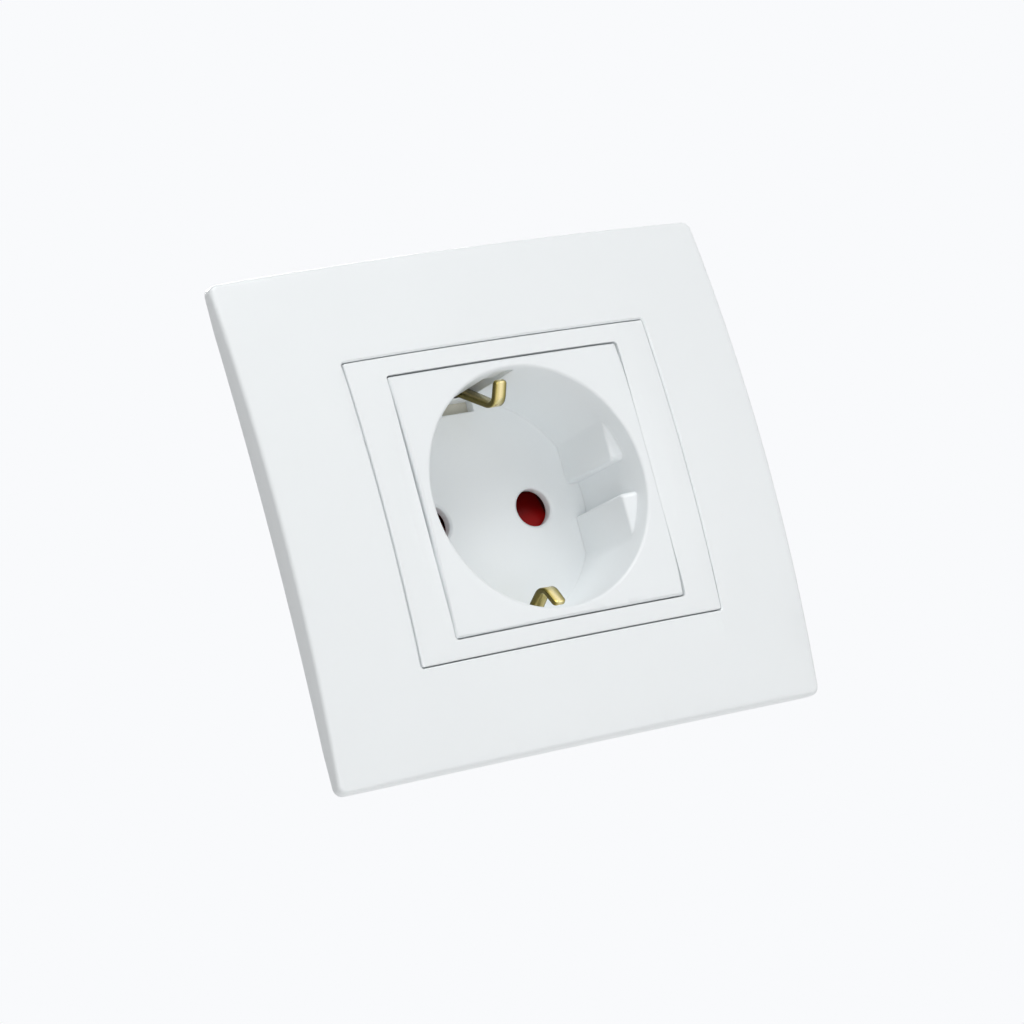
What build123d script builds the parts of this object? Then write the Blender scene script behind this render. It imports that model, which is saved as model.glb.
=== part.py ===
from build123d import *
import os
from math import asin, cos, degrees, radians, sin, sqrt, tan

# Grounded wall socket outlet for a round flush box, in millimetres.
#
# X runs to the right, Z up and Y into the wall, so the front is seen looking along +Y.
# The origin lies on the wall face, midway between the two box screws, which is also the
# axis of the plug recess. Heights are counted from the wall face towards the room, so
# whatever lies inside the wall has a negative height.

os.makedirs("parts", exist_ok=True)

# Doubly arched front that the outer frame, the inner ring and the centre plate share
crown = 8.3
arch_radius_x = 350.0
arch_radius_z = 232.0

# Outer frame
frame_width = 89.6
frame_height = 80.2
frame_corner = 1.5
frame_edge = 0.8
frame_skin = 1.8
frame_side = 1.9
side_relief = 1.2
relief_end = 7.0
window_width = 55.95
window_height = 48.5
window_corner = 0.55
window_edge = 0.25
collar_wall = 1.5

# Inner ring between the frame and the centre plate
ring_gap = 0.22
ring_skin = 1.6
ring_wall = 1.2
grip_width = 3.0
grip_depth = 0.75
ring_edge = 0.2

# Centre plate moulded in one with the plug recess
cover_corner = 0.35
cover_gap = 0.27
cover_edge = 0.3
cover_skin = 1.6
skirt_wall = 0.9
skirt_end = 2.2
recess_radius = 19.0
recess_draft = 0.9
recess_floor = -10.8
rim_round = 0.5
rim_margin_side = 1.8
rim_margin_top = 1.5
cup_radius = 20.3
floor_thickness = 1.8

# Flat guide pads on both sides of the recess
pad_face = 16.75
pad_inner = 2.75
pad_outer = 9.8
pad_top = 3.6
upper_pad_rise = 0.15
lower_pad_rise = 1.7
pad_corner = 0.9
pad_edge = 0.4

# Pin entries
pin_spacing = 19.0
pin_hole = 6.2
pin_hole_lead = 0.35

# Channels in which the earth clips flex
channel_width = 3.8
channel_floor_start = 17.0
channel_front_reach = 19.7
channel_back_play = 0.65
channel_top = 6.1
channel_step = -1.2
channel_sill = -8.2
channel_front_play = 0.3
channel_wall = 1.0
channel_lead = 0.8
floor_slot_width = 6.5

# Earth strap with its two spring clips
strap_thickness = 0.85
clip_width = 2.0
clip_root_width = 3.4
clip_edge = 0.28
strap_width = 7.0
clip_apex = 14.55
clip_apex_height = 1.6
clip_tip = 18.2
clip_tip_height = 4.15
clip_tip_corner = 0.6
clip_root_height = -9.4
strap_bend = 1.2
strap_play = 0.2
strap_shoulder = -13.6
clip_root_bend = 1.5
clip_bend = 2.1

# Shutter
shutter_gap = 0.25
shutter_depth = 3.3
ramp_width = 7.4
ramp_top = 3.4
ramp_foot = -3.2
ramp_lip = 0.6
slide_bar_top = -4.2
slide_bar_bottom = -7.6
slide_half_width = 13.3
slide_corner = 1.0
slide_back_play = 0.05
slide_side_play = 0.15
slide_stop_play = 0.1
slide_well_bottom = -15.4
spring_seat = -5.0
spring_wire = 0.2
spring_radius = 0.95
spring_turns = 6
spring_pocket_play = 0.15

# Tray in which the shutter runs, and which closes the contact chambers
tray_floor = 1.2
tray_wall = 1.1
tray_half_width = 17.0
tray_top = 9.0
tray_bottom = -16.4
tray_play = 0.15
tray_hole = 5.6

# Mechanism base
base_rear = -32.5
pot_play = 0.4
pot_wall = 1.6
pot_bottom = -14.5
flange_radius = 26.8
flange_thickness = 3.0
base_flat = 22.4
block_half_width = 22.0
block_half_height = 20.2
block_corner = 3.0
core_wall = 1.6
core_depth = 13.5
rib_height = 1.0
rib_width = 1.0
bulge_play = 0.35
bulge_wall = 1.6

# Contacts
contact_thickness = 0.7
contact_width = 6.0
contact_rear = -30.9
leaf_root = 2.9
leaf_pinch = 2.2
leaf_pinch_height = -22.0
leaf_mouth = 3.3
leaf_mouth_height = -18.5
chamber_rear = -31.2
chamber_play = 0.4
chamber_top = 4.2
riser_z = -5.3
riser_play = 0.55
ledge_rib = 1.0
ledge = 1.0
tail_width = 8.4
tail_height = -24.0
tail_end_z = -15.0
tail_bend = 0.9
leaf_bend = 1.5
root_bend = 0.6

# Terminals
terminal_z = -11.4
clamp_size = 6.8
clamp_thickness = 1.0
terminal_shank = 1.7
terminal_hole_play = 0.06
terminal_head = 3.2
terminal_head_height = 2.0
terminal_shank_length = 5.0
slot_width = 0.9
slot_depth = 1.0
earth_terminal_z = 9.0
earth_shank_length = 5.5
earth_hole_play = 0.5
wire_mouth_width = 7.0
wire_mouth_height = 4.8

# Steel support frame
yoke_size = 70.0
yoke_trim = 6.0
yoke_thickness = 1.2
yoke_opening = 21.6
box_spacing = 60.0
box_slot_radius = 1.9
box_slot_length = 7.0

# Rivets that join the mechanism base to the support frame
rivet_offset = 17.2
rivet_radius = 1.2
rivet_head = 1.9
rivet_head_height = 0.7
rivet_hole_play = 0.05

# Spreading claws and their screws
claw_pivot_x = 28.4
claw_pivot_height = -3.4
claw_pin = 1.2
claw_pin_play = 0.06
claw_half_width = 5.0
claw_tooth = 1.2
claw_teeth = 4
claw_tooth_depth = 1.4
claw_thickness = 1.5
claw_hub = 1.9
claw_end_height = -19.0
claw_foot_x = 22.9
claw_foot_height = -5.1
claw_screw_x = 24.55
claw_screw_radius = 1.5
claw_screw_head = 2.3
claw_screw_head_height = 1.9
claw_screw_gap = 0.3
claw_screw_play = 0.05
claw_screw_clear = 0.25
ear_inner = 5.2
ear_thickness = 1.2
ear_half_width = 1.7
ear_end = -5.4
claw_knee_x = 27.5
claw_knee_height = -14.0
claw_end_x = 28.9
claw_pin_end = 0.2

# Snap legs
cover_leg_z = 11.5
cover_leg_width = 5.0
frame_leg_z = 16.5
frame_leg_width = 6.0
ring_leg_x = 21.0
ring_leg_width = 6.0
leg_play = 0.25
leg_pocket_play = 0.4
leg_pocket_depth = 2.2
hook_reach = 0.7
hook_height = 1.3
hook_gap = 0.1

# Sizes that follow from the ones above
ring_width = window_width - 2 * ring_gap
ring_height = window_height - 2 * ring_gap
recess_rim = recess_radius + (crown - recess_floor) * tan(radians(recess_draft))
cover_width = 2 * (recess_rim + rim_margin_side)
cover_height = 2 * (recess_rim + rim_margin_top)
opening_width = cover_width + 2 * cover_gap
opening_height = cover_height + 2 * cover_gap
floor_back = recess_floor - floor_thickness
pot_radius = cup_radius + pot_play
slide_front = floor_back - shutter_gap
slide_back = slide_front - shutter_depth
well_floor = slide_back - slide_back_play
tray_back = well_floor - tray_floor
strap_z = block_half_height + strap_thickness / 2
strap_rear = base_rear - strap_thickness / 2
channel_rear_reach = strap_z + strap_thickness / 2 + channel_back_play
strap_front = strap_z - strap_thickness / 2 - channel_front_play
bulge_reach = channel_rear_reach + channel_wall
head_clearance = crown + 1.0


def level(height):
    """Plane parallel to the wall at this height, facing the room."""
    return Plane.XZ.offset(height)


def profile_above(z):
    """Plane for profiles drawn as (x, height) and thickened along Z."""
    return Plane(origin=(0, 0, z), x_dir=(1, 0, 0), z_dir=(0, 0, -1))


def profile_beside(x):
    """Plane for profiles drawn as (z, height) and thickened along X."""
    return Plane(origin=(x, 0, 0), x_dir=(0, 0, 1), z_dir=(1, 0, 0))


def dome(depth):
    """Solid under the arched front, with its face this far behind it, and larger than any piece."""
    radius_x = arch_radius_x - depth
    radius_z = arch_radius_z - depth
    half_width = frame_width
    side = radius_z - radius_x + sqrt(radius_x**2 - half_width**2)
    tilt = asin(frame_height / radius_z)
    centre = (0, arch_radius_z - crown, 0)
    start = Plane(origin=centre, x_dir=(1, 0, 0), z_dir=(0, sin(tilt), -cos(tilt)))
    back = radius_z - frame_height / 2
    with BuildPart() as block:
        with BuildSketch(start):
            with BuildLine():
                ThreePointArc((-half_width, side), (0, radius_z), (half_width, side))
                Polyline((half_width, side), (half_width, back), (-half_width, back), (-half_width, side))
            make_face()
        revolve(axis=Axis(centre, (-1, 0, 0)), revolution_arc=2 * degrees(tilt))
    return block.part


def guide_pad(rise):
    """Pad at the upper right of the recess, whose top rises by this much to the outside of the cup."""
    with BuildPart() as pad:
        with BuildSketch(profile_above(pad_outer)):
            with BuildLine():
                Polyline(
                    (pad_face, recess_floor),
                    (pad_face, pad_top),
                    (cup_radius, pad_top + rise),
                    (cup_radius, recess_floor),
                    close=True,
                )
            make_face()
        extrude(amount=pad_outer - pad_inner)
        fillet(pad.faces().sort_by(Axis.Z)[0].edges().sort_by(Axis.Y)[0], pad_corner)
        guide_face = pad.faces().sort_by(Axis.X)[0]
        fillet(guide_face.edges().sort_by(Axis.Y)[:-1].sort_by(Axis.Z)[:-1], pad_edge)
    return pad.part


def room_face(part):
    """The arched front face of a part."""
    return part.faces().filter_by(GeomType.REVOLUTION).sort_by(Axis.Y)[0]


def finish(builder, name):
    """Label a finished piece and write it."""
    builder.part.label = name
    export_step(builder.part, "parts/" + name + ".step")


front = dome(0)


# Outer frame: a domed shell on a side wall, with a collar round its window
with BuildPart() as frame_hollow:
    with BuildSketch(Plane.XZ):
        RectangleRounded(frame_width - 2 * frame_side, frame_height - 2 * frame_side, frame_corner)
        Rectangle(window_width + 2 * collar_wall, window_height + 2 * collar_wall, mode=Mode.SUBTRACT)
    extrude(amount=head_clearance)
    add(dome(frame_skin), mode=Mode.INTERSECT)

with BuildPart() as outer_frame:
    with BuildSketch(Plane.XZ):
        RectangleRounded(frame_width, frame_height, frame_corner)
    extrude(amount=head_clearance)
    add(front, mode=Mode.INTERSECT)
    fillet(room_face(outer_frame).edges(), frame_edge)
    add(frame_hollow.part, mode=Mode.SUBTRACT)
    with BuildSketch(Plane.XZ):
        RectangleRounded(window_width, window_height, window_corner)
    extrude(amount=head_clearance, mode=Mode.SUBTRACT)
    chamfer(room_face(outer_frame).inner_wires()[0].edges(), window_edge)
    # The collar stands on the support frame
    with BuildSketch(Plane.XZ):
        Rectangle(window_width + 3 * collar_wall, window_height + 3 * collar_wall)
    extrude(amount=yoke_thickness, mode=Mode.SUBTRACT)
    # The side walls rest on the wall near the corners only
    for plane, length, depth in (
        (profile_beside(0), frame_height, frame_width),
        (profile_above(0), frame_width, frame_height),
    ):
        half_arc = length / 2 - relief_end
        with BuildSketch(plane):
            with BuildLine():
                ThreePointArc((-half_arc, 0), (0, side_relief), (half_arc, 0))
                Line((half_arc, 0), (-half_arc, 0))
            make_face()
        extrude(amount=depth, both=True, mode=Mode.SUBTRACT)
    # Snap legs on the two long sides of the collar
    for side in (-1, 1):
        inner = side * window_width / 2
        outer = side * (window_width / 2 + collar_wall)
        hook = outer + side * hook_reach
        with BuildSketch(profile_above(frame_leg_z), profile_above(-frame_leg_z)):
            with BuildLine():
                Polyline(
                    (inner, yoke_thickness),
                    (outer, yoke_thickness),
                    (outer, -hook_gap),
                    (hook, -hook_gap),
                    (outer, -hook_gap - hook_height),
                    (inner, -hook_gap - hook_height),
                    close=True,
                )
            make_face()
        extrude(amount=frame_leg_width / 2, both=True)
finish(outer_frame, "outer_frame")


# Inner ring: a hollow rectangle whose side bars slope down to the centre plate
with BuildPart() as ring_hollow:
    with BuildSketch(level(yoke_thickness)):
        Rectangle(ring_width - 2 * ring_wall, ring_height - 2 * ring_wall)
        Rectangle(opening_width + 2 * ring_wall, opening_height + 2 * ring_wall, mode=Mode.SUBTRACT)
    extrude(amount=head_clearance)
    add(dome(ring_skin), mode=Mode.INTERSECT)

with BuildPart() as inner_ring:
    with BuildSketch(level(yoke_thickness)):
        RectangleRounded(ring_width, ring_height, window_corner - ring_gap)
    extrude(amount=head_clearance)
    add(front, mode=Mode.INTERSECT)
    fillet(room_face(inner_ring).edges(), ring_edge)
    add(ring_hollow.part, mode=Mode.SUBTRACT)
    with BuildSketch(level(yoke_thickness)):
        RectangleRounded(opening_width, opening_height, cover_corner + cover_gap)
    extrude(amount=head_clearance, mode=Mode.SUBTRACT)
    # Finger slopes on the side bars, as long as the centre plate is high
    for side in (-1, 1):
        start = opening_width / 2
        sag = start**2 / (2 * arch_radius_x)
        with BuildSketch(profile_above(0)):
            with BuildLine():
                Polyline(
                    (side * (start + grip_width), crown - sag),
                    (side * (start + grip_width), crown + 1),
                    (side * (start - 1), crown + 1),
                    (side * (start - 1), crown - sag - grip_depth),
                    (side * start, crown - sag - grip_depth),
                    close=True,
                )
            make_face()
        extrude(amount=opening_height / 2, both=True, mode=Mode.SUBTRACT)
    # Room for the heads of the claw screws
    with BuildSketch(level(yoke_thickness)):
        with GridLocations(2 * claw_screw_x, 0, 2, 1):
            Circle(claw_screw_head + claw_screw_clear)
    extrude(amount=claw_screw_head_height + claw_screw_clear, mode=Mode.SUBTRACT)
    # Snap legs on the top and bottom bars
    for side in (-1, 1):
        inner = side * (ring_height / 2 - ring_wall)
        outer = side * ring_height / 2
        hook = inner - side * hook_reach
        with BuildSketch(profile_beside(ring_leg_x), profile_beside(-ring_leg_x)):
            with BuildLine():
                Polyline(
                    (outer, yoke_thickness),
                    (inner, yoke_thickness),
                    (inner, -hook_gap),
                    (hook, -hook_gap),
                    (inner, -hook_gap - hook_height),
                    (outer, -hook_gap - hook_height),
                    close=True,
                )
            make_face()
        extrude(amount=ring_leg_width / 2, both=True)
finish(inner_ring, "inner_ring")


# Centre plate and plug recess
with BuildPart() as cover_hollow:
    with BuildSketch(level(skirt_end)):
        Rectangle(cover_width - 2 * skirt_wall, cover_height - 2 * skirt_wall)
    extrude(amount=head_clearance)
    add(dome(cover_skin), mode=Mode.INTERSECT)

upper_pad = guide_pad(upper_pad_rise)
lower_pad = guide_pad(lower_pad_rise)
with BuildPart() as guide_pads:
    add(upper_pad)
    mirror(lower_pad, about=Plane.XY)
    mirror(about=Plane.YZ)
    with BuildSketch(level(recess_floor)):
        Circle((recess_radius + cup_radius) / 2)
    extrude(amount=2 * cup_radius, mode=Mode.INTERSECT)

with BuildPart() as cup_body:
    with BuildSketch(level(floor_back)):
        Circle(cup_radius)
        Rectangle(channel_width + 2 * channel_wall, cover_height)
    extrude(amount=head_clearance - floor_back)
    add(dome(cover_skin / 2), mode=Mode.INTERSECT)
    with BuildSketch(level(floor_back)):
        Rectangle(channel_width + 2 * channel_wall, 2 * bulge_reach)
    extrude(amount=channel_step + channel_wall - floor_back)

with BuildPart() as socket_cover:
    with BuildSketch(level(skirt_end)):
        RectangleRounded(cover_width, cover_height, cover_corner)
    extrude(amount=head_clearance)
    add(front, mode=Mode.INTERSECT)
    chamfer(room_face(socket_cover).edges(), cover_edge)
    add(cover_hollow.part, mode=Mode.SUBTRACT)
    add(cup_body.part)
    with BuildSketch(level(recess_floor)):
        Circle(recess_radius)
    extrude(amount=head_clearance - recess_floor, taper=-recess_draft, mode=Mode.SUBTRACT)
    fillet(room_face(socket_cover).inner_wires()[0].edges(), rim_round)
    add(guide_pads.part)
    # Channels for the earth clips, with a sill that slopes down to the strap
    for side in (-1, 1):
        with BuildSketch(profile_beside(0)):
            with BuildLine():
                Polyline(
                    (side * strap_front, floor_back),
                    (side * channel_rear_reach, floor_back),
                    (side * channel_rear_reach, channel_step),
                    (side * channel_front_reach, channel_step + channel_wall),
                    (side * channel_front_reach, channel_top - channel_lead),
                    (side * (channel_front_reach - channel_lead), channel_top),
                    (side * channel_floor_start, channel_top),
                    (side * channel_floor_start, channel_sill),
                    (side * recess_radius, channel_sill),
                    (side * strap_front, floor_back + floor_thickness / 2),
                    close=True,
                )
            make_face()
        extrude(amount=channel_width / 2, both=True, mode=Mode.SUBTRACT)
    # The floor is open in front of each sill
    with BuildSketch(level(recess_floor)):
        with GridLocations(0, channel_floor_start + recess_radius, 1, 2):
            Rectangle(floor_slot_width, recess_radius - channel_floor_start)
    extrude(amount=-floor_thickness, mode=Mode.SUBTRACT)
    # Pin entries with a small lead-in
    with BuildSketch(level(recess_floor)):
        with GridLocations(pin_spacing, 0, 2, 1):
            Circle(pin_hole / 2)
    extrude(amount=-floor_thickness, mode=Mode.SUBTRACT)
    entries = socket_cover.edges().filter_by(GeomType.CIRCLE)
    entries = entries.filter_by(lambda edge: abs(edge.radius - pin_hole / 2) < 0.01)
    chamfer(entries.group_by(Axis.Y)[0], pin_hole_lead)
    # Snap legs at both sides
    for side in (-1, 1):
        inner = side * (cover_width / 2 - skirt_wall)
        outer = side * cover_width / 2
        hook = outer + side * hook_reach
        with BuildSketch(profile_above(cover_leg_z), profile_above(-cover_leg_z)):
            with BuildLine():
                Polyline(
                    (inner, skirt_end),
                    (outer, skirt_end),
                    (outer, -hook_gap),
                    (hook, -hook_gap),
                    (outer, -hook_gap - hook_height),
                    (inner, -hook_gap - hook_height),
                    close=True,
                )
            make_face()
        extrude(amount=cover_leg_width / 2, both=True)
finish(socket_cover, "socket_cover")


# Shutter slide: one ramp in front of each contact, joined by a bar that the spring pushes up
with BuildPart() as shutter_slide:
    with BuildSketch(profile_beside(-pin_spacing / 2), profile_beside(pin_spacing / 2)):
        with BuildLine():
            Polyline(
                (ramp_top, slide_back),
                (ramp_top, slide_back + ramp_lip),
                (ramp_foot, slide_front),
                (slide_bar_bottom, slide_front),
                (slide_bar_bottom, slide_back),
                close=True,
            )
        make_face()
    extrude(amount=ramp_width / 2, both=True)
    with BuildSketch(level(slide_back)):
        with Locations((0, (slide_bar_top + slide_bar_bottom) / 2)):
            Rectangle(2 * slide_half_width, slide_bar_top - slide_bar_bottom)
    extrude(amount=shutter_depth)
    lower_corners = shutter_slide.edges().filter_by(Axis.Y).group_by(Axis.Z)[0].sort_by(Axis.X)
    chamfer([lower_corners[0], lower_corners[-1]], slide_corner)
    # Blind pocket that holds the upper end of the spring
    with BuildSketch(Plane.XY.offset(slide_bar_bottom)):
        with Locations((0, -(slide_front + slide_back) / 2)):
            Circle(spring_radius + spring_wire / 2 + spring_pocket_play)
    extrude(amount=spring_seat - slide_bar_bottom, mode=Mode.SUBTRACT)
finish(shutter_slide, "shutter_slide")


# Shutter spring, with a six-sided wire
spring_bottom = slide_well_bottom
spring_length = spring_seat - spring_bottom - spring_wire
with BuildPart() as shutter_spring:
    spring_start = (spring_radius, -(slide_front + slide_back) / 2, spring_bottom + spring_wire / 2)
    with BuildLine():
        Helix(
            pitch=spring_length / spring_turns,
            height=spring_length,
            radius=spring_radius,
            center=(0, spring_start[1], spring_start[2]),
        )
    with BuildSketch(Plane(origin=spring_start, x_dir=(1, 0, 0), z_dir=(0, 1, 0))):
        RegularPolygon(spring_wire / 2, 6)
    sweep(is_frenet=True)
finish(shutter_spring, "shutter_spring")


# Tray that guides the shutter and closes the contact chambers
well_top = ramp_top + slide_stop_play
with BuildPart() as shutter_tray:
    with BuildSketch(level(tray_back)):
        with Locations((0, (tray_top + tray_bottom) / 2)):
            RectangleRounded(2 * tray_half_width, tray_top - tray_bottom, block_corner / 2)
        Circle(cup_radius, mode=Mode.INTERSECT)
    extrude(amount=floor_back - tray_back)
    with BuildSketch(level(well_floor)):
        with Locations((0, (well_top + slide_well_bottom) / 2)):
            Rectangle(2 * (slide_half_width + slide_side_play), well_top - slide_well_bottom)
        Circle(cup_radius - tray_wall, mode=Mode.INTERSECT)
    extrude(amount=floor_back - well_floor, mode=Mode.SUBTRACT)
    with BuildSketch(level(tray_back)):
        with GridLocations(pin_spacing, 0, 2, 1):
            Circle(tray_hole / 2)
    extrude(amount=tray_floor, mode=Mode.SUBTRACT)
finish(shutter_tray, "shutter_tray")


# Mechanism base: flange and pot round the recess, with the terminal block behind
tail_rear = tail_height - contact_thickness
chamber_width = tail_width + 2 * chamber_play
terminal_end = tail_end_z - chamber_play
mouth_front = tail_rear - chamber_play / 2
with BuildPart() as mechanism_base:
    with BuildSketch(level(-flange_thickness)):
        Circle(flange_radius)
        Rectangle(2 * base_flat, 2 * flange_radius, mode=Mode.INTERSECT)
    extrude(amount=flange_thickness)
    with BuildSketch(level(pot_bottom)):
        Circle(pot_radius + pot_wall)
        Rectangle(
            channel_width + 2 * (channel_wall + bulge_play + bulge_wall),
            2 * (bulge_reach + bulge_play + bulge_wall),
        )
        Rectangle(2 * base_flat, 2 * flange_radius, mode=Mode.INTERSECT)
    extrude(amount=-pot_bottom)
    with BuildSketch(level(base_rear)):
        RectangleRounded(2 * block_half_width, 2 * block_half_height, block_corner)
    extrude(amount=floor_back - base_rear)
    fillet(mechanism_base.faces().sort_by(Axis.Y)[-1].edges(), strap_bend)
    # Bore that takes the cup, with a bay for each bulge
    with BuildSketch(level(floor_back)):
        Circle(pot_radius)
        Rectangle(channel_width + 2 * (channel_wall + bulge_play), 2 * (bulge_reach + bulge_play))
    extrude(amount=-floor_back, mode=Mode.SUBTRACT)
    # Slots through which the earth strap leaves the bays
    with BuildSketch(level(pot_bottom)):
        with GridLocations(0, 2 * strap_z + strap_play, 1, 2):
            Rectangle(strap_width + 2 * strap_play, strap_thickness + strap_play)
    extrude(amount=floor_back - pot_bottom, mode=Mode.SUBTRACT)
    # Seat of the shutter tray
    with BuildSketch(level(tray_back)):
        with Locations((0, (tray_top + tray_bottom) / 2)):
            RectangleRounded(
                2 * (tray_half_width + tray_play), tray_top - tray_bottom + 2 * tray_play, block_corner / 2
            )
        Circle(pot_radius, mode=Mode.INTERSECT)
    extrude(amount=floor_back - tray_back, mode=Mode.SUBTRACT)
    # Chambers for the contacts, stepped so that each tail lies on a ledge
    for side in (-1, 1):
        x = side * pin_spacing / 2
        deep_end = riser_z - contact_thickness / 2 - riser_play
        with BuildSketch(level(tail_rear)):
            with Locations((x, (chamber_top + terminal_end) / 2)):
                Rectangle(chamber_width, chamber_top - terminal_end)
        extrude(amount=tray_back - tail_rear, mode=Mode.SUBTRACT)
        with BuildSketch(level(chamber_rear)):
            with Locations((x, (chamber_top + deep_end) / 2)):
                Rectangle(chamber_width, chamber_top - deep_end)
        extrude(amount=tail_rear - chamber_rear, mode=Mode.SUBTRACT)
        with BuildSketch(level(base_rear)):
            with Locations((x, (deep_end - ledge_rib + terminal_end) / 2)):
                Rectangle(chamber_width - 2 * ledge, deep_end - ledge_rib - terminal_end)
        extrude(amount=tail_rear - base_rear, mode=Mode.SUBTRACT)
        # Mouth for the conductors, open downwards
        with BuildSketch(Plane.XY.offset(-block_half_height)):
            with Locations((x, -(mouth_front - wire_mouth_height / 2))):
                Rectangle(wire_mouth_width, wire_mouth_height)
        extrude(amount=block_half_height + terminal_end, mode=Mode.SUBTRACT)
    # Cored pockets in the rear, and the hole of the earth screw
    core_inner = pin_spacing / 2 + chamber_width / 2 + core_wall
    core_outer = block_half_width - core_wall
    core_end = block_half_height - core_wall - strap_bend
    with BuildSketch(level(base_rear)):
        with GridLocations(core_inner + core_outer, core_end + core_wall, 2, 2):
            RectangleRounded(core_outer - core_inner, core_end - core_wall, core_wall / 2)
        with Locations((0, (chamber_top + core_wall + core_end) / 2)):
            with GridLocations(pin_spacing, 0, 2, 1):
                RectangleRounded(chamber_width, core_end - core_wall - chamber_top, core_wall / 2)
    extrude(amount=core_depth, mode=Mode.SUBTRACT)
    with BuildSketch(level(base_rear)):
        with Locations((0, earth_terminal_z)):
            Circle(terminal_shank + earth_hole_play)
    extrude(amount=earth_shank_length, mode=Mode.SUBTRACT)
    # Ribs that keep the strap in line
    with BuildSketch(level(base_rear)):
        with GridLocations(strap_width + 2 * strap_play + rib_width, 0, 2, 1):
            Rectangle(rib_width, 2 * (core_end - strap_bend))
    extrude(amount=-rib_height)
    # Pockets for the hooks of the centre plate, and the rivet holes
    pocket_start = cover_width / 2 - skirt_wall - leg_play
    with BuildSketch(level(-leg_pocket_depth)):
        for side in (-1, 1):
            with Locations((side * (pocket_start + flange_radius) / 2, 0)):
                with GridLocations(0, 2 * cover_leg_z, 1, 2):
                    Rectangle(flange_radius - pocket_start, cover_leg_width + 2 * leg_pocket_play)
    extrude(amount=leg_pocket_depth, mode=Mode.SUBTRACT)
    with BuildSketch(level(-flange_thickness)):
        with GridLocations(2 * rivet_offset, 2 * rivet_offset, 2, 2):
            Circle(rivet_radius + rivet_hole_play)
    extrude(amount=flange_thickness, mode=Mode.SUBTRACT)
finish(mechanism_base, "mechanism_base")


# Contacts: two sprung leaves on a bridge, with a tail that steps up to the terminal
bridge = contact_rear + contact_thickness / 2
tail = tail_height - contact_thickness / 2
for name, x in (("left_contact", -pin_spacing / 2), ("right_contact", pin_spacing / 2)):
    root = leaf_root + contact_thickness / 2
    pinch = leaf_pinch + contact_thickness / 2
    mouth = leaf_mouth + contact_thickness / 2
    with BuildPart() as contact:
        with BuildSketch(profile_above(0)):
            with BuildLine() as leaves:
                FilletPolyline(
                    (x - mouth, leaf_mouth_height),
                    (x - pinch, leaf_pinch_height),
                    (x - root, bridge),
                    (x + root, bridge),
                    (x + pinch, leaf_pinch_height),
                    (x + mouth, leaf_mouth_height),
                    radius=[leaf_bend, root_bend, root_bend, leaf_bend],
                )
            trace(line_width=contact_thickness)
        extrude(amount=contact_width / 2, both=True)
        with BuildSketch(profile_beside(x)):
            with BuildLine() as riser:
                FilletPolyline((0, bridge), (riser_z, bridge), (riser_z, tail), (tail_end_z, tail), radius=tail_bend)
            trace(line_width=contact_thickness)
        extrude(amount=root - root_bend, both=True)
        with BuildSketch(level(tail_rear)):
            plate_start = riser_z - tail_bend - contact_thickness
            with Locations((x, (plate_start + tail_end_z) / 2)):
                RectangleRounded(tail_width, plate_start - tail_end_z, tail_bend)
        extrude(amount=contact_thickness)
        with BuildSketch(level(tail_rear)):
            with Locations((x, terminal_z)):
                Circle(terminal_shank + terminal_hole_play)
        extrude(amount=contact_thickness, mode=Mode.SUBTRACT)
    finish(contact, name)


# Earth strap: one bent strip, with a spring clip at each end
with BuildPart() as earth_strap:
    with BuildSketch(profile_beside(0)):
        with BuildLine() as strip:
            FilletPolyline(
                (clip_tip, clip_tip_height),
                (clip_apex, clip_apex_height),
                (strap_z, clip_root_height),
                (strap_z, strap_rear),
                (-strap_z, strap_rear),
                (-strap_z, clip_root_height),
                (-clip_apex, clip_apex_height),
                (-clip_tip, clip_tip_height),
                radius=[clip_bend, clip_root_bend, strap_bend, strap_bend, clip_root_bend, clip_bend],
            )
        trace(line_width=strap_thickness)
    extrude(amount=strap_width / 2, both=True)
    # The clips are narrower than the strap and taper from the root to the tip
    for side in (-1, 1):
        with BuildSketch(profile_above(0)):
            with BuildLine():
                Polyline(
                    (side * strap_width, strap_shoulder),
                    (side * clip_root_width / 2, strap_shoulder),
                    (side * clip_width / 2, crown),
                    (side * strap_width, crown),
                    close=True,
                )
            make_face()
        extrude(amount=2 * strap_z, both=True, mode=Mode.SUBTRACT)
    tips = earth_strap.faces().sort_by(Axis.Y)[:2]
    fillet(tips.edges().filter_by(lambda edge: abs(edge.length - strap_thickness) < 0.01), clip_tip_corner)
    # Their edges are rounded, from the shoulder to round the tip
    flanks = earth_strap.faces().filter_by(lambda face: abs(face.normal_at().X) > 0.9)
    flanks = flanks.filter_by(lambda face: face.center().Y < -strap_shoulder)
    edges = flanks.edges().filter_by(lambda edge: edge.center().Y < -strap_shoulder - 0.01)
    fillet(edges, clip_edge)
    with BuildSketch(level(base_rear - strap_thickness)):
        with Locations((0, earth_terminal_z)):
            Circle(terminal_shank + terminal_hole_play)
    extrude(amount=strap_thickness, mode=Mode.SUBTRACT)
finish(earth_strap, "earth_strap")


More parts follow.
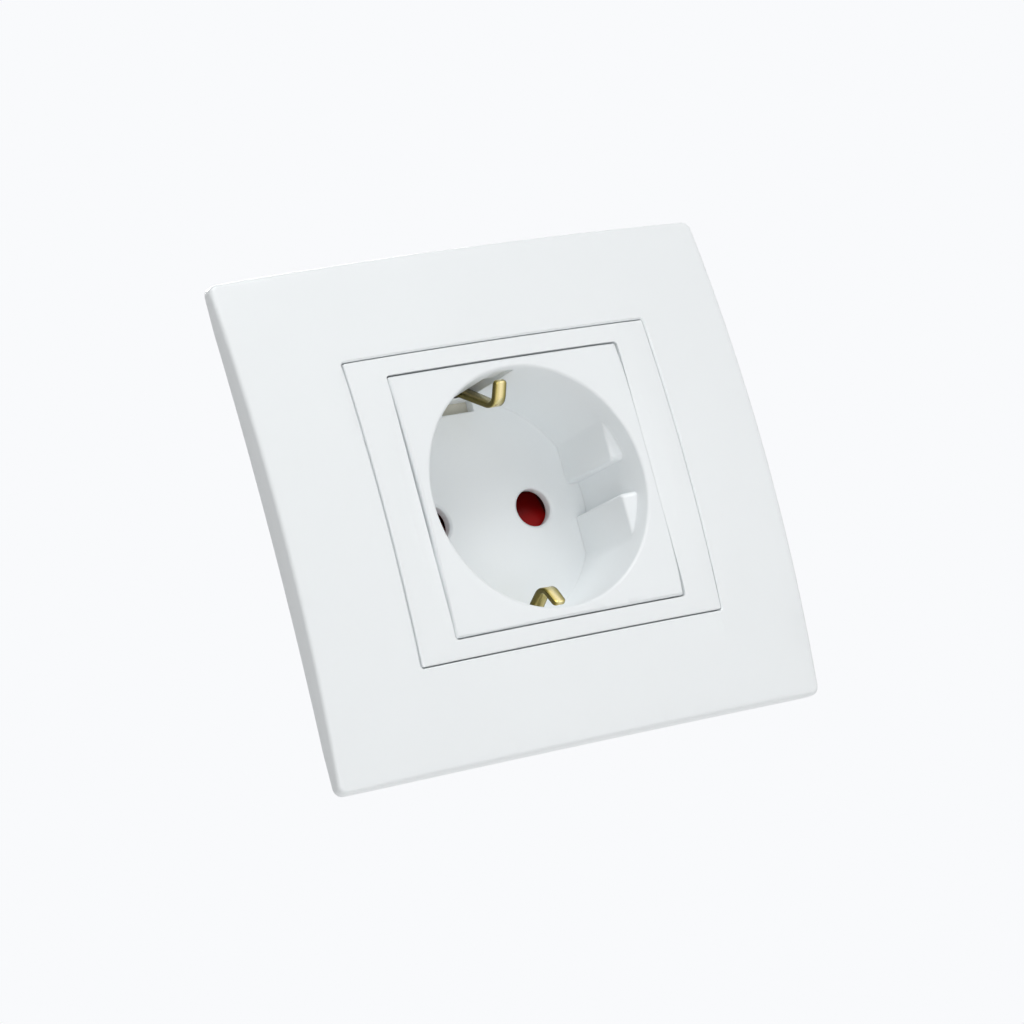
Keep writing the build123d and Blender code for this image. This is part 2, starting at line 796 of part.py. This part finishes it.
# Terminals: each has a clamp plate under the head of a slotted screw, driven from the rear
terminals = (
    ("left", -pin_spacing / 2, terminal_z, tail_rear, terminal_shank_length),
    ("right", pin_spacing / 2, terminal_z, tail_rear, terminal_shank_length),
    ("earth", 0, earth_terminal_z, base_rear - strap_thickness, earth_shank_length),
)
for name, x, z, seat, reach in terminals:
    with BuildPart() as clamp:
        with BuildSketch(level(seat - clamp_thickness)):
            with Locations((x, z)):
                RectangleRounded(clamp_size, clamp_size, clamp_thickness / 2)
                Circle(terminal_shank + terminal_hole_play, mode=Mode.SUBTRACT)
        extrude(amount=clamp_thickness)
    finish(clamp, name + "_clamp")

    head_rear = seat - clamp_thickness - terminal_head_height
    with BuildPart() as terminal_screw:
        with BuildSketch(level(head_rear)):
            with Locations((x, z)):
                Circle(terminal_head)
        extrude(amount=terminal_head_height)
        chamfer(terminal_screw.edges().group_by(Axis.Y)[-1], terminal_head_height / 5)
        with BuildSketch(level(head_rear + terminal_head_height)):
            with Locations((x, z)):
                Circle(terminal_shank)
        extrude(amount=clamp_thickness + reach)
        chamfer(terminal_screw.edges().group_by(Axis.Y)[0], terminal_shank / 5)
        with BuildSketch(level(head_rear)):
            with Locations((x, z)):
                Rectangle(3 * terminal_head, slot_width)
        extrude(amount=slot_depth, mode=Mode.SUBTRACT)
    finish(terminal_screw, name + "_terminal_screw")


# Support frame: flat steel plate with the box slots, the snap slots and the ears of the claws
with BuildPart() as support_frame:
    with BuildSketch(Plane.XZ):
        with BuildLine():
            edge = yoke_size / 2
            trim = edge - yoke_trim
            Polyline(
                (-edge, -trim),
                (-trim, -edge),
                (trim, -edge),
                (edge, -trim),
                (edge, trim),
                (trim, edge),
                (-trim, edge),
                (-edge, trim),
                close=True,
            )
        make_face()
        Circle(yoke_opening, mode=Mode.SUBTRACT)
        Rectangle(
            channel_width + 2 * (channel_wall + bulge_play),
            2 * (bulge_reach + bulge_play),
            mode=Mode.SUBTRACT,
        )
        # Notches for the legs of the centre plate
        with GridLocations(0, 2 * cover_leg_z, 1, 2):
            Rectangle(cover_width + 2 * leg_play, cover_leg_width + 2 * leg_play, mode=Mode.SUBTRACT)
        # Slots for the legs of the frame and of the ring
        with GridLocations(window_width + collar_wall, 2 * frame_leg_z, 2, 2):
            Rectangle(collar_wall + 2 * leg_play, frame_leg_width + 2 * leg_play, mode=Mode.SUBTRACT)
        with GridLocations(2 * ring_leg_x, ring_height - ring_wall, 2, 2):
            Rectangle(ring_leg_width + 2 * leg_play, ring_wall + 2 * leg_play, mode=Mode.SUBTRACT)
        # Slots for the box screws
        with GridLocations(0, box_spacing, 1, 2):
            SlotOverall(box_slot_length, 2 * box_slot_radius, rotation=90, mode=Mode.SUBTRACT)
        # Rivet holes, claw screw holes and the windows that the ears are bent out of
        with GridLocations(2 * rivet_offset, 2 * rivet_offset, 2, 2):
            Circle(rivet_radius + rivet_hole_play, mode=Mode.SUBTRACT)
        with GridLocations(2 * claw_screw_x, 0, 2, 1):
            Circle(claw_screw_radius + claw_screw_play, mode=Mode.SUBTRACT)
        with GridLocations(2 * claw_pivot_x, 0, 2, 1):
            Rectangle(2 * ear_half_width, 2 * ear_inner, mode=Mode.SUBTRACT)
    extrude(amount=yoke_thickness)
    with BuildSketch(level(ear_end)):
        with GridLocations(2 * claw_pivot_x, 2 * ear_inner + ear_thickness, 2, 2):
            Rectangle(2 * ear_half_width, ear_thickness)
    extrude(amount=yoke_thickness - ear_end)
    with BuildSketch(profile_above(0)):
        with Locations((-claw_pivot_x, claw_pivot_height), (claw_pivot_x, claw_pivot_height)):
            Circle(claw_pin + claw_pin_play)
    extrude(amount=yoke_size / 2, both=True, mode=Mode.SUBTRACT)
finish(support_frame, "support_frame")


# Rivets, closed on both sides
for number, (x, z) in enumerate(((1, 1), (-1, 1), (-1, -1), (1, -1)), start=1):
    place = (x * rivet_offset, z * rivet_offset)
    with BuildPart() as rivet:
        with BuildSketch(level(-flange_thickness)):
            with Locations(place):
                Circle(rivet_radius)
        extrude(amount=flange_thickness + yoke_thickness)
        with BuildSketch(level(yoke_thickness), level(-flange_thickness - rivet_head_height)):
            with Locations(place):
                Circle(rivet_head)
        extrude(amount=rivet_head_height)
        chamfer(rivet.edges().group_by(Axis.Y)[0], rivet_head_height / 2)
        chamfer(rivet.edges().group_by(Axis.Y)[-1], rivet_head_height / 2)
    finish(rivet, "base_rivet_" + str(number))


# Claws: a foot that the screw pushes back and an arm that swings out against the box
for name, side in (("left", -1), ("right", 1)):
    with BuildPart() as claw:
        with BuildSketch(profile_above(0)):
            with BuildLine() as arm:
                Polyline(
                    (side * claw_pivot_x, claw_pivot_height),
                    (side * claw_knee_x, claw_knee_height),
                    (side * claw_end_x, claw_end_height),
                )
            trace(line_width=claw_thickness)
            with Locations((side * (claw_foot_x + claw_pivot_x) / 2, claw_foot_height - claw_thickness / 2)):
                Rectangle(claw_pivot_x - claw_foot_x, claw_thickness)
            with Locations((side * claw_pivot_x, claw_pivot_height)):
                Circle(claw_hub)
        extrude(amount=claw_half_width, both=True)
        with BuildSketch(profile_above(0)):
            with Locations((side * claw_pivot_x, claw_pivot_height)):
                Circle(claw_pin)
        extrude(amount=ear_inner + ear_thickness + claw_pin_end, both=True)
        # Notches that leave teeth at the end of the arm
        with BuildSketch(profile_beside(side * claw_end_x)):
            with Locations((0, claw_end_height)):
                with GridLocations(2 * claw_tooth, 0, claw_teeth - 1, 1):
                    Rectangle(claw_tooth, 2 * claw_tooth_depth)
        extrude(amount=claw_hub, both=True, mode=Mode.SUBTRACT)
    finish(claw, name + "_claw")

    tip = claw_foot_height + claw_screw_gap
    with BuildPart() as claw_screw:
        with BuildSketch(level(yoke_thickness)):
            with Locations((side * claw_screw_x, 0)):
                Circle(claw_screw_head)
        extrude(amount=claw_screw_head_height)
        chamfer(claw_screw.edges().group_by(Axis.Y)[0], claw_screw_head_height / 3)
        with BuildSketch(level(tip)):
            with Locations((side * claw_screw_x, 0)):
                Circle(claw_screw_radius)
        extrude(amount=yoke_thickness - tip)
        chamfer(claw_screw.edges().group_by(Axis.Y)[-1], claw_screw_radius / 4)
        with BuildSketch(level(yoke_thickness + claw_screw_head_height - slot_depth)):
            with Locations((side * claw_screw_x, 0)):
                Rectangle(slot_width, 3 * claw_screw_head)
        extrude(amount=slot_depth, mode=Mode.SUBTRACT)
    finish(claw_screw, name + "_claw_screw")
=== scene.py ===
import math

import bmesh
import bpy
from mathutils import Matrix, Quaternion, Vector


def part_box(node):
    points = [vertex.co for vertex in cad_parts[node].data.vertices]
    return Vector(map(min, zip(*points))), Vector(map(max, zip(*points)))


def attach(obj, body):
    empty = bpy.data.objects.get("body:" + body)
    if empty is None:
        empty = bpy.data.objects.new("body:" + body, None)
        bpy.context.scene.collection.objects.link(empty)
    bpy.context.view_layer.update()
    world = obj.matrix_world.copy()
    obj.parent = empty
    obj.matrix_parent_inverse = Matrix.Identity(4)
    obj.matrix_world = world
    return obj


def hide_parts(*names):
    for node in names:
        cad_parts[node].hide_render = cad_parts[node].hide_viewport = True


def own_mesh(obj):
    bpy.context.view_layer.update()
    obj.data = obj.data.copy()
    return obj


# Looks of a grounded wall socket outlet: moulded white plastics, red shutters, brass and
# plated steel, in soft studio light. Lengths are in metres and angles in degrees.

MM = 0.001

# Camera: the viewpoint of the reference picture, from the lower left of the front
CAMERA_PLACE = Vector((-0.3299, -0.5221, -0.0905))
CAMERA_AIM = Vector((0.52697, 0.83793, 0.14203))
CAMERA_UP = Vector((0.14709, -0.25452, 0.95582))
# Width of its sensor and focal length, in millimetres
SENSOR = 36.0
LENS = 140.3

# Stage: a round floor that glows more like the background the farther it is from its middle
BACKGROUND = (0.947, 0.956, 0.973)
FLOOR_COLOUR = (0.88, 0.88, 0.88)
FLOOR_BELOW = 0.60
FLOOR_RADIUS = 6.0
FLOOR_CORNERS = 96
FLOOR_FADE = 0.9
FLOOR_LEAST_GLOW = 0.55

# White light: strength of the surroundings, and the lamps' name, place, width and power in watts
WHITE = (1.0, 1.0, 1.0)
AMBIENT = 0.255
LAMPS = (
    ("key", (-0.3, -0.85, 1.1), 0.9, 7.1),
    ("small_key", (0.1, -0.85, 1.05), 0.35, 3.15),
    ("low_left", (-0.9, -1.1, -0.2), 0.9, 1.8),
    ("low_right", (0.8, -1.0, -0.2), 0.9, 1.5),
    ("below", (-0.3, -0.8, -0.52), 0.8, 2.3),
    ("back", (0.3, 1.0, 0.8), 0.8, 9.0),
)

# White plastics: their light tone, how dark the darker tone is beside it, and the radius that
# the shading gives their edges
FRAME_WHITE = (0.918, 0.948, 0.960)
COVER_WHITE = (0.914, 0.946, 0.960)
DARKER_TONE = 0.975
FRAME_ROUNDING = 0.10 * MM
COVER_ROUNDING = 0.45 * MM
ROUNDING_SAMPLES = 6

# Other plastics
RED_DEEP = (0.14, 0.003, 0.003)
RED_STREAK = (0.20, 0.004, 0.004)
# Paler red of the painted light towards the bottom of the ramps
RED_PAINTED_LIGHT = (0.42, 0.007, 0.007)
BEIGE_DARK = (0.68, 0.665, 0.58)
BEIGE_LIGHT = (0.78, 0.765, 0.68)
BEIGE_FLECK = (0.84, 0.83, 0.8)
TRAY_DARK = (0.060, 0.006, 0.008)
TRAY_LIGHT = (0.100, 0.013, 0.014)

# Painted shading on the red ramps, darker at the top and paler towards the bottom: heights where
# the paler painted light starts and where it is full
RAMP_PAINTED_LIGHT = (1.2 * MM, -2.6 * MM)

# Earth strap: depth behind the wall face and half width at the front and at the root of its
# clips, and half width behind the root
CLIP_FRONT = (-8.3 * MM, 1.0 * MM)
CLIP_ROOT = (13.6 * MM, 1.7 * MM)
STRAP_HALF_WIDTH = 3.5 * MM
CLIP_DARK = (0.35, 0.28, 0.06)
CLIP_LIGHT = (0.80, 0.66, 0.26)
# Colour of the painted highlight on the clips
CLIP_PAINTED_HIGHLIGHT = (0.97, 0.83, 0.45)
# Colour of the painted dark reflection at the strap's edges
CLIP_PAINTED_DARK_EDGE = (0.13, 0.105, 0.03)
# Range that its streaks are spread to, which makes them stronger
CLIP_STREAKS = (-0.6, 1.6)
# Where the painted dark edges and the painted highlight start and are full: shares of the half
# width, and depths
DARK_EDGE_SHARES = (0.55, 1.0)
HIGHLIGHT_SHARES = (0.72, 0.05)
HIGHLIGHT_DEPTHS = (0.4 * MM, -2.4 * MM)
# How far the shading crowns its faces
CLIP_CROWN = 0.22 * MM

# Rolled metals: how far their roughness varies
ROUGHNESS_SPAN = 0.14

# Shutter spring: round wire with a closed turn at each end
SPRING_WIRE = 0.2 * MM
SPRING_TURNS = 8
SPRING_CLOSED = 1
SPRING_STEPS = 28
SPRING_SIDES = 10

# CAD meshes: points nearer than this are joined, and shading breaks at edges sharper than this
JOINED_WITHIN = 0.0005 * MM
SMOOTH_ANGLE = 32.0

# Places of the colour sockets on a Mix node, whose names are not unique
MIX_FACTOR = 0
MIX_FIRST = 6
MIX_SECOND = 7
MIX_RESULT = 2

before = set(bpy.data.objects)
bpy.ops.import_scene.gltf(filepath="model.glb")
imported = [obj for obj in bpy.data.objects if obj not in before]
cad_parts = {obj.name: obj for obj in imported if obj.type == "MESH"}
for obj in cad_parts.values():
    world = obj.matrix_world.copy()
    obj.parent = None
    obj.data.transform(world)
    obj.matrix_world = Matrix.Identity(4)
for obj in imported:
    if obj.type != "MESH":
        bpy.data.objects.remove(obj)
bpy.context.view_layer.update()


class Graph:
    """The emptied node tree of a material or world, with short calls to add and join nodes."""

    def __init__(self, owner, output):
        owner.use_nodes = True
        self.nodes = owner.node_tree.nodes
        self.links = owner.node_tree.links
        self.nodes.clear()
        self.output = self.nodes.new(output)

    def fill(self, socket, value):
        """Joins another socket to this one, or sets it to a number, a vector or a colour."""
        if isinstance(value, bpy.types.NodeSocket):
            self.links.new(value, socket)
        elif socket.type == "RGBA":
            socket.default_value = (*value, 1)
        else:
            socket.default_value = value

    def add(self, kind, settings=None, **inputs):
        """Adds a node and fills its inputs, which are keyed by their name with _ for spaces."""
        node = self.nodes.new(kind)
        for key, value in (settings or {}).items():
            setattr(node, key, value)
        for key, value in inputs.items():
            self.fill(node.inputs[key.replace("_", " ")], value)
        return node

    def calculate(self, operation, *values):
        """Result of an operation on numbers or sockets."""
        node = self.add("ShaderNodeMath", {"operation": operation})
        for socket, value in zip(node.inputs, values):
            self.fill(socket, value)
        return node.outputs[0]

    def seen(self):
        """1 for camera, glossy and transmission rays, 0 for the rest."""
        path = self.add("ShaderNodeLightPath").outputs
        direct = self.calculate("MAXIMUM", path["Is Camera Ray"], path["Is Glossy Ray"])
        return self.calculate("MAXIMUM", direct, path["Is Transmission Ray"])

    def finish_mixed(self, share, first, second):
        """Ends the tree with two shaders, mixed by the share of the second."""
        blend = self.add("ShaderNodeMixShader")
        for socket, value in zip(blend.inputs, (share, first.outputs[0], second.outputs[0])):
            self.fill(socket, value)
        self.links.new(blend.outputs[0], self.output.inputs[0])


class Look(Graph):
    """The node tree of a new material, with short calls for patterns that stay on the piece."""

    def __init__(self, name):
        self.material = bpy.data.materials.new(name)
        super().__init__(self.material, "ShaderNodeOutputMaterial")
        self.place = self.add("ShaderNodeTexCoord").outputs["Object"]

    def noise(self, feature, detail=2.0, stretch=(1, 1, 1)):
        """Noise from 0 to 1 whose features are about this long, in metres."""
        place = self.add("ShaderNodeMapping", Vector=self.place, Scale=stretch).outputs[0]
        texture = self.add("ShaderNodeTexNoise", Vector=place, Scale=1 / feature, Detail=detail)
        return texture.outputs["Fac"]

    def between(self, value, low, high):
        """Maps a value from 0..1 to low..high."""
        return self.add("ShaderNodeMapRange", Value=value, To_Min=low, To_Max=high).outputs[0]

    def step(self, value, start, end):
        """Rises softly from 0 at start to 1 at end."""
        soft = {"interpolation_type": "SMOOTHSTEP"}
        node = self.add("ShaderNodeMapRange", soft, Value=value, From_Min=start, From_Max=end)
        return node.outputs[0]

    def mix(self, value, first, second, blend_type="MIX"):
        """Mixes two colours by a value; each of the three may be a socket."""
        node = self.add("ShaderNodeMix", {"data_type": "RGBA", "blend_type": blend_type})
        self.fill(node.inputs[MIX_FACTOR], value)
        self.fill(node.inputs[MIX_FIRST], first)
        self.fill(node.inputs[MIX_SECOND], second)
        return node.outputs[MIX_RESULT]

    def bump(self, value, depth, before=None):
        """Bump of this depth in metres, on top of an earlier bump."""
        node = self.add("ShaderNodeBump", Height=value, Distance=depth, Strength=1.0)
        if before is not None:
            self.links.new(before, node.inputs["Normal"])
        return node.outputs[0]

    def surface(self, **inputs):
        """Finishes the material with a principled shader."""
        shader = self.add("ShaderNodeBsdfPrincipled", **inputs)
        self.links.new(shader.outputs[0], self.output.inputs[0])
        return self.material


def white_plastic(name, light, rounding):
    """Injection-moulded white plastic: satin grain, faint moulding waves and rounded edges."""
    look = Look(name)
    dark = tuple(DARKER_TONE * part for part in light)
    soft_edges = look.add("ShaderNodeBevel", {"samples": ROUNDING_SAMPLES}, Radius=rounding)
    waves = look.bump(look.noise(12 * MM, detail=1.0), 0.012 * MM, soft_edges.outputs[0])
    return look.surface(
        Base_Color=look.mix(look.noise(20 * MM), dark, light),
        Roughness=look.between(look.noise(0.8 * MM, detail=3.0), 0.27, 0.36),
        IOR=1.52,
        Normal=look.bump(look.noise(0.12 * MM, detail=3.0), 0.0012 * MM, waves),
    )


def red_plastic():
    """Glossy red plastic of the shutters: streaks from the mould, with painted shading that is
    dark at the top and paler towards the bottom.
    """
    look = Look("shutter_red")
    streaks = look.noise(1.5 * MM, detail=3.0, stretch=(0.3, 1, 1))
    height = look.add("ShaderNodeSeparateXYZ", Vector=look.place).outputs["Z"]
    # Painted shading: paler towards the bottom, darker at the top
    painted_light = look.step(height, *RAMP_PAINTED_LIGHT)
    return look.surface(
        Base_Color=look.mix(painted_light, look.mix(streaks, RED_DEEP, RED_STREAK), RED_PAINTED_LIGHT),
        Roughness=look.between(look.noise(0.5 * MM), 0.20, 0.30),
        IOR=1.46,
        Specular_IOR_Level=0.15,
        Normal=look.bump(look.noise(0.15 * MM, detail=3.0), 0.0015 * MM),
    )


def base_plastic():
    """Matt beige thermoset with soft clouds, darker flecks and a sandy grain."""
    look = Look("base_beige")
    clouds = look.mix(look.noise(6 * MM, detail=4.0), BEIGE_DARK, BEIGE_LIGHT)
    flecks = look.noise(0.25 * MM, detail=4.0)
    return look.surface(
        Base_Color=look.mix(1.0, clouds, look.mix(flecks, BEIGE_FLECK, WHITE), "MULTIPLY"),
        Roughness=look.between(flecks, 0.5, 0.68),
        IOR=1.5,
        Normal=look.bump(look.noise(0.22 * MM, detail=4.0), 0.012 * MM),
    )


def tray_plastic():
    """Dark red, slightly mottled plastic of the shutter tray."""
    look = Look("tray_dark")
    return look.surface(
        Base_Color=look.mix(look.noise(2 * MM, detail=3.0), TRAY_DARK, TRAY_LIGHT),
        Roughness=look.between(look.noise(0.4 * MM, detail=3.0), 0.4, 0.55),
        IOR=1.5,
        Normal=look.bump(look.noise(0.2 * MM, detail=3.0), 0.004 * MM),
    )


def clip_brass():
    """Brass of the earth strap: a painted highlight down the middle of its clips' front arms, and
    painted dark reflections at its edges.
    """
    look = Look("clip_brass")
    split = look.add("ShaderNodeSeparateXYZ", Vector=look.place).outputs
    taper = look.add(
        "ShaderNodeMapRange",
        Value=split["Y"],
        From_Min=CLIP_FRONT[0],
        From_Max=CLIP_ROOT[0],
        To_Min=CLIP_FRONT[1],
        To_Max=CLIP_ROOT[1],
    ).outputs[0]
    behind = look.calculate("GREATER_THAN", split["Y"], CLIP_ROOT[0])
    widening = STRAP_HALF_WIDTH - CLIP_ROOT[1]
    half_width = look.calculate("MULTIPLY_ADD", behind, widening, taper)
    share = look.calculate("DIVIDE", look.calculate("ABSOLUTE", split["X"]), half_width)
    # Painted highlight: down the middle of the front arms of the clips
    painted_highlight = look.calculate(
        "MULTIPLY", look.step(split["Y"], *HIGHLIGHT_DEPTHS), look.step(share, *HIGHLIGHT_SHARES)
    )
    streaks = look.noise(0.8 * MM, stretch=(1, 0.08, 0.08))
    strip = look.mix(look.between(streaks, *CLIP_STREAKS), CLIP_DARK, CLIP_LIGHT)
    highlighted_strip = look.mix(painted_highlight, strip, CLIP_PAINTED_HIGHLIGHT)
    fine_lines = look.noise(0.1 * MM, detail=3.0, stretch=(1, 0.04, 0.04))
    scratches = look.bump(fine_lines, 0.001 * MM)
    rise = look.between(look.calculate("MULTIPLY", share, share), 1.0, 0.0)
    crowned = look.bump(rise, CLIP_CROWN, scratches)
    return look.surface(
        # Painted dark reflection: darker towards the edges of the strap
        Base_Color=look.mix(look.step(share, *DARK_EDGE_SHARES), highlighted_strip, CLIP_PAINTED_DARK_EDGE),
        Metallic=1.0,
        Roughness=look.between(streaks, 0.16, 0.30),
        Normal=look.bump(look.noise(0.5 * MM, detail=3.0), 0.005 * MM, crowned),
    )


def rolled_metal(name, low, high, roughness, grain, stains):
    """Rolled and plated sheet metal: fine lines along the strip, uneven tone and soft stains."""
    look = Look(name)
    scratches = look.bump(look.noise(0.08 * MM, detail=3.0, stretch=grain), 0.002 * MM)
    smears = look.noise(stains / 3, detail=4.0)
    return look.surface(
        Base_Color=look.mix(look.noise(stains, detail=5.0), low, high),
        Metallic=1.0,
        Roughness=look.between(smears, roughness, roughness + ROUGHNESS_SPAN),
        Normal=look.bump(look.noise(0.4 * MM, detail=4.0), 0.004 * MM, scratches),
    )


MATERIALS = {
    "white_frame": white_plastic("frame_white", FRAME_WHITE, FRAME_ROUNDING),
    "white_ring": white_plastic("ring_white", FRAME_WHITE, FRAME_ROUNDING),
    "white_cover": white_plastic("cover_white", COVER_WHITE, COVER_ROUNDING),
    "red": red_plastic(),
    "beige": base_plastic(),
    "tray": tray_plastic(),
    "clip": clip_brass(),
    "brass": rolled_metal(
        "strip_brass",
        low=(0.62, 0.44, 0.16),
        high=(0.80, 0.62, 0.27),
        roughness=0.22,
        grain=(1, 0.04, 0.04),
        stains=5 * MM,
    ),
    "steel": rolled_metal(
        "plated_steel",
        low=(0.43, 0.44, 0.46),
        high=(0.57, 0.58, 0.60),
        roughness=0.24,
        grain=(0.05, 1, 1),
        stains=1.6 * MM,
    ),
    "screw": rolled_metal(
        "screw_steel",
        low=(0.50, 0.51, 0.52),
        high=(0.66, 0.67, 0.68),
        roughness=0.20,
        grain=(1, 0.1, 1),
        stains=1.0 * MM,
    ),
    "spring": rolled_metal(
        "spring_wire",
        low=(0.42, 0.42, 0.43),
        high=(0.56, 0.56, 0.57),
        roughness=0.25,
        grain=(1, 1, 1),
        stains=1.0 * MM,
    ),
}

NODE_LOOKS = {
    "outer_frame": "white_frame",
    "inner_ring": "white_ring",
    "socket_cover": "white_cover",
    "shutter_slide": "red",
    "shutter_spring": "spring",
    "shutter_tray": "tray",
    "mechanism_base": "beige",
    "earth_strap": "clip",
    "left_contact": "brass",
    "right_contact": "brass",
    "support_frame": "steel",
    "left_claw": "steel",
    "right_claw": "steel",
}
OTHER_LOOK = "screw"


def dress(node, material):
    """Gives a CAD node its material and smooth shading that breaks at its sharp edges."""
    node.data.materials.clear()
    node.data.materials.append(material)
    node.data.polygons.foreach_set("use_smooth", [True] * len(node.data.polygons))
    weld = node.modifiers.new("weld", "WELD")
    weld.merge_threshold = JOINED_WITHIN
    split = node.modifiers.new("edges", "EDGE_SPLIT")
    split.split_angle = math.radians(SMOOTH_ANGLE)


for node_name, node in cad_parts.items():
    dress(node, MATERIALS[NODE_LOOKS.get(node_name, OTHER_LOOK)])


def spring_ring(middle, radius, height, turn):
    """Points round the wire of a spring, this many turns from its start."""
    outward = Vector((math.cos(math.tau * turn), math.sin(math.tau * turn), 0))
    points = []
    for side in range(SPRING_SIDES):
        angle = math.tau * side / SPRING_SIDES
        reach = radius + SPRING_WIRE / 2 * math.cos(angle)
        lift = SPRING_WIRE / 2 * math.sin(angle)
        points.append((middle.x + reach * outward.x, middle.y + reach * outward.y, height + lift))
    return points


def make_spring():
    """Round-wire spring in place of the CAD's; the real one shortens as the shutter moves."""
    low, high = (Vector(corner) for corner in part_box("shutter_spring"))
    middle = (low + high) / 2
    radius = (high.x - low.x - SPRING_WIRE) / 2
    rise = high.z - low.z - SPRING_WIRE
    open_turns = SPRING_TURNS - 2 * SPRING_CLOSED
    open_pitch = (rise - 2 * SPRING_CLOSED * SPRING_WIRE) / open_turns
    work = bmesh.new()
    rings = []
    for step in range(SPRING_TURNS * SPRING_STEPS + 1):
        turn = step / SPRING_STEPS
        closed = min(turn, SPRING_CLOSED) + max(turn - SPRING_TURNS + SPRING_CLOSED, 0)
        height = low.z + SPRING_WIRE / 2 + closed * SPRING_WIRE + (turn - closed) * open_pitch
        points = spring_ring(middle, radius, height, turn)
        rings.append([work.verts.new(point) for point in points])
    for ring, above in zip(rings, rings[1:]):
        for side in range(SPRING_SIDES):
            after = (side + 1) % SPRING_SIDES
            work.faces.new((ring[side], ring[after], above[after], above[side]))
    work.faces.new(rings[0])
    work.faces.new(rings[-1])
    bmesh.ops.recalc_face_normals(work, faces=work.faces)
    mesh = bpy.data.meshes.new("shutter_coil")
    work.to_mesh(mesh)
    work.free()
    # All but the two end faces are smooth
    smooth = [len(face.vertices) < SPRING_SIDES for face in mesh.polygons]
    mesh.polygons.foreach_set("use_smooth", smooth)
    mesh.materials.append(MATERIALS["spring"])
    coil = bpy.data.objects.new("shutter_coil", mesh)
    bpy.context.scene.collection.objects.link(coil)
    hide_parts("shutter_spring")
    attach(coil, "socket")
    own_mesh(coil)


def make_floor():
    """Pale round floor that keeps the shadow and fades into the background."""
    look = Look("stage_floor")
    distance = look.add("ShaderNodeVectorMath", {"operation": "LENGTH"}, Vector=look.place)
    fade = look.add(
        "ShaderNodeMapRange",
        Value=distance.outputs["Value"],
        From_Max=FLOOR_FADE,
        To_Min=FLOOR_LEAST_GLOW,
    ).outputs[0]
    share = look.calculate("MULTIPLY", fade, look.seen())
    diffuse = look.add("ShaderNodeBsdfDiffuse", Color=FLOOR_COLOUR)
    glow = look.add("ShaderNodeEmission", Color=BACKGROUND, Strength=1.0)
    look.finish_mixed(share, diffuse, glow)
    bpy.ops.mesh.primitive_circle_add(
        vertices=FLOOR_CORNERS,
        radius=FLOOR_RADIUS,
        fill_type="NGON",
        location=(0, 0, -FLOOR_BELOW),
    )
    floor = bpy.context.object
    floor.name = "floor"
    floor.data.materials.append(look.material)


def make_world():
    """Even white surroundings, brighter to the camera than to the object."""
    world = bpy.data.worlds.new("studio")
    graph = Graph(world, "ShaderNodeOutputWorld")
    light = graph.add("ShaderNodeBackground", Color=WHITE, Strength=AMBIENT)
    backdrop = graph.add("ShaderNodeBackground", Color=BACKGROUND, Strength=1.0)
    graph.finish_mixed(graph.seen(), light, backdrop)
    bpy.context.scene.world = world


def make_lights():
    """Round soft boxes that look at the middle of the front."""
    for name, place, width, power in LAMPS:
        data = bpy.data.lights.new(name, "AREA")
        data.shape = "DISK"
        data.size = width
        data.energy = power
        data.color = WHITE
        lamp = bpy.data.objects.new(name, data)
        lamp.location = place
        lamp.rotation_mode = "QUATERNION"
        lamp.rotation_quaternion = (-Vector(place)).to_track_quat("-Z", "Y")
        bpy.context.scene.collection.objects.link(lamp)


def make_camera():
    """The camera of the reference picture, which is rolled a little."""
    data = bpy.data.cameras.new("camera")
    data.sensor_width = SENSOR
    data.lens = LENS
    camera = bpy.data.objects.new("camera", data)
    camera.location = CAMERA_PLACE
    camera.rotation_mode = "QUATERNION"
    level = CAMERA_AIM.to_track_quat("-Z", "Y")
    tilt = level.inverted() @ CAMERA_UP
    roll = Quaternion((0, 0, 1), math.atan2(-tilt.x, tilt.y))
    camera.rotation_quaternion = level @ roll
    bpy.context.scene.collection.objects.link(camera)
    bpy.context.scene.camera = camera


make_spring()
make_floor()
make_world()
make_lights()
make_camera()
bpy.context.scene.view_settings.view_transform = "Standard"
